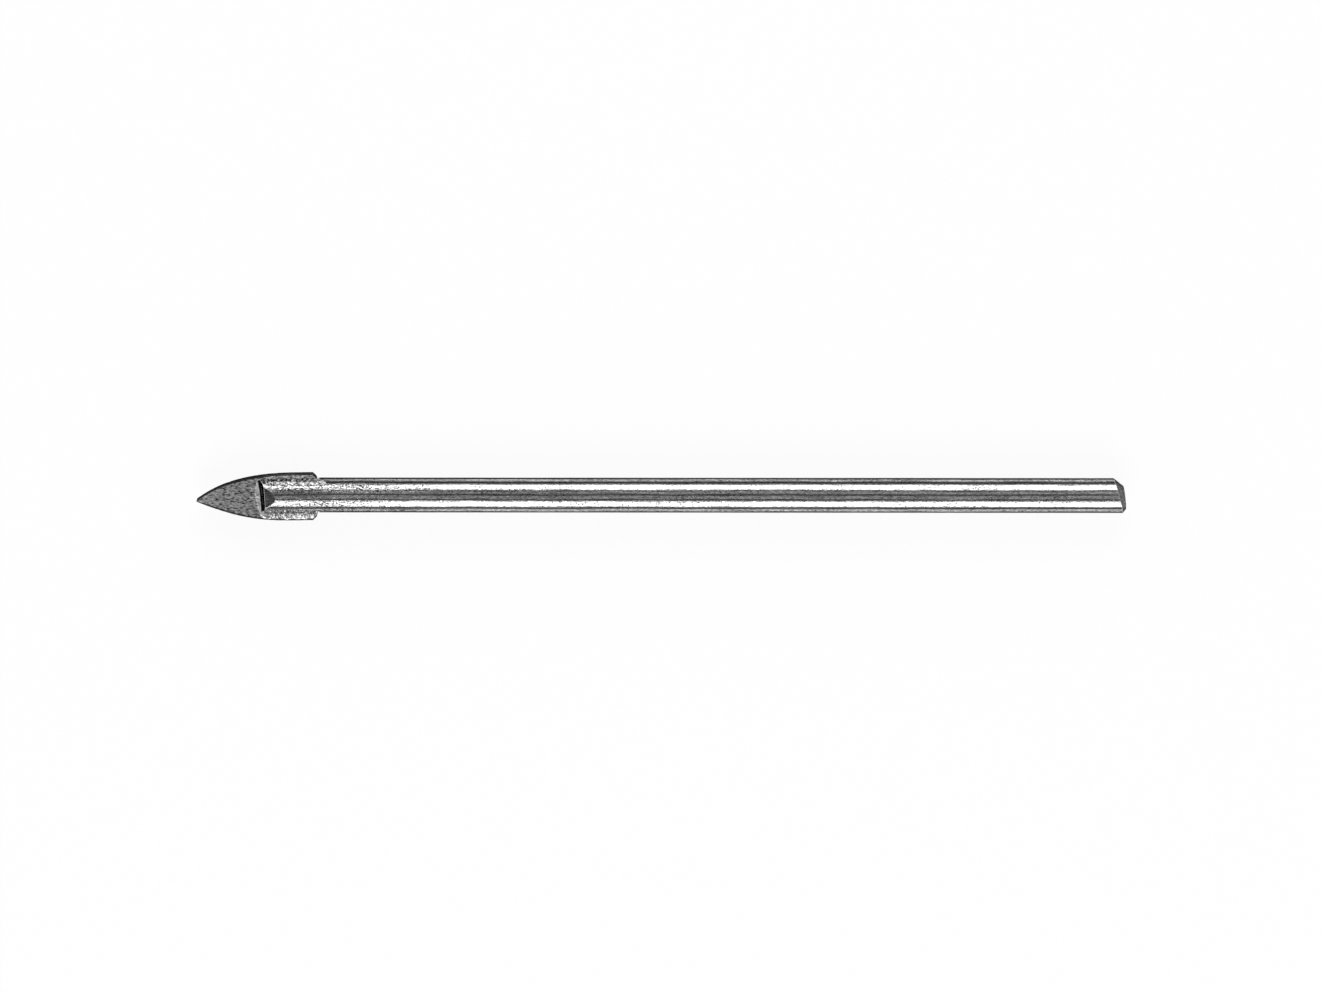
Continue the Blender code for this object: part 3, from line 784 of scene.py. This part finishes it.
def make_floor():
    """A sheet of matt white card under the bit."""
    shape = bmesh.new()
    bmesh.ops.create_grid(shape, x_segments=8, y_segments=8, size=FLOOR_REACH)
    material, tree, shader, place = new_material("matt_white_card")
    fibres = grain(tree, place, 2 * MM, 2 * MM)
    colour = add_node(tree, "ShaderNodeMix", {0: fibres, 6: hex_colour("F8F8F8"), 7: hex_colour("FAFAFA")},
                      data_type="RGBA").outputs[2]
    tree.links.new(colour, shader.inputs["Base Color"])
    shader.inputs["Roughness"].default_value = 0.9
    shader.inputs["Specular IOR Level"].default_value = 0.0
    rays = add_node(tree, "ShaderNodeLightPath").outputs
    seen = add_node(tree, "ShaderNodeMath", {0: rays["Is Camera Ray"], 1: rays["Is Glossy Ray"]},
                    operation="MAXIMUM").outputs["Value"]
    seen = add_node(tree, "ShaderNodeMath", {0: seen, 1: rays["Is Transmission Ray"]},
                    operation="MAXIMUM").outputs["Value"]
    share = add_node(tree, "ShaderNodeMath", {0: seen, 1: 0.9}, operation="MULTIPLY").outputs["Value"]
    white = add_node(tree, "ShaderNodeEmission", {"Color": hex_colour("FFFFFF"), "Strength": 1.0})
    mixed = add_node(tree, "ShaderNodeMixShader", {0: share, 1: shader.outputs[0], 2: white.outputs[0]})
    tree.links.new(mixed.outputs[0], tree.nodes["Material Output"].inputs["Surface"])
    floor = add_object("floor", shape, material)
    floor.location = (BIT_MIDDLE.x, 0, CAD_BOX[0].z)


def make_strip(name, side, low, high, radiance):
    """A long softbox beside the bit, filling the angles from low to high away from straight up."""
    distance = STRIP_DISTANCE
    middle = math.radians(low + high) / 2
    half = math.radians(high - low) / 2
    light = bpy.data.lights.new(name, "AREA")
    light.shape = "RECTANGLE"
    light.size = STRIP_LENGTH
    light.size_y = 2 * distance * math.tan(half)
    light.energy = radiance * math.pi * light.size * light.size_y
    strip = bpy.data.objects.new(name, light)
    bpy.context.scene.collection.objects.link(strip)
    away = Vector((0, side * math.sin(middle), math.cos(middle)))
    across = away.cross(Vector((1, 0, 0)))
    strip.matrix_world = Matrix.Translation(BIT_MIDDLE + distance * away) @ Matrix(
        (Vector((1, 0, 0)), across, away)).transposed().to_4x4()
    strip.visible_camera = False


def make_world():
    """A pale room: white at the horizon, and darker overhead between the softboxes."""
    world = bpy.data.worlds.new("pale_room")
    bpy.context.scene.world = world
    world.use_nodes = True
    tree = world.node_tree
    background = tree.nodes["Background"]
    direction = add_node(tree, "ShaderNodeTexCoord").outputs["Generated"]
    height = add_node(tree, "ShaderNodeSeparateXYZ", {"Vector": direction}).outputs["Z"]
    strength = add_node(tree, "ShaderNodeMapRange", {"Value": height, "From Min": 0.05, "From Max": 0.7,
                                                     "To Min": 1.0, "To Max": OVERHEAD},
                        interpolation_type="SMOOTHSTEP").outputs["Result"]
    background.inputs["Color"].default_value = (1, 1, 1, 1)
    tree.links.new(strength, background.inputs["Strength"])


def make_camera():
    camera = bpy.data.objects.new("camera", bpy.data.cameras.new("camera"))
    bpy.context.scene.collection.objects.link(camera)
    bpy.context.scene.camera = camera
    away = Vector((-math.tan(CAMERA_TILT), math.tan(CAMERA_LEAN), 1)).normalized()
    up = away.cross(Vector((1, 0, 0))).normalized()
    placed = Matrix((up.cross(away), up, away)).transposed().to_4x4()
    rolled = Matrix.Rotation(CAMERA_ROLL, 4, "Z")
    camera.matrix_world = Matrix.Translation(Vector(CAMERA_AIM) + CAMERA_DISTANCE * away) @ placed @ rolled
    camera.data.sensor_width = 36
    camera.data.lens = CAMERA_LENS
    camera.data.clip_start = 0.01
    camera.data.clip_end = 10


shank = make_shank(drawn_steel())
plate = make_plate(ground_carbide())
braze = make_braze(silver_braze())
for piece, node_name, slot_name in ((shank, "shank", "drawn_steel"), (plate, "carbide_tip", "ground_carbide"),
                                    (braze, "braze", "silver_braze")):
    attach(piece, "root")
    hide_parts(node_name)

make_floor()
make_strip("softbox_behind", 1, 44.5, 76.5, STRIP_RADIANCE)
make_strip("softbox_in_front", -1, 38.5, 74, STRIP_RADIANCE)
make_world()
make_camera()
bpy.context.scene.view_settings.view_transform = "Standard"
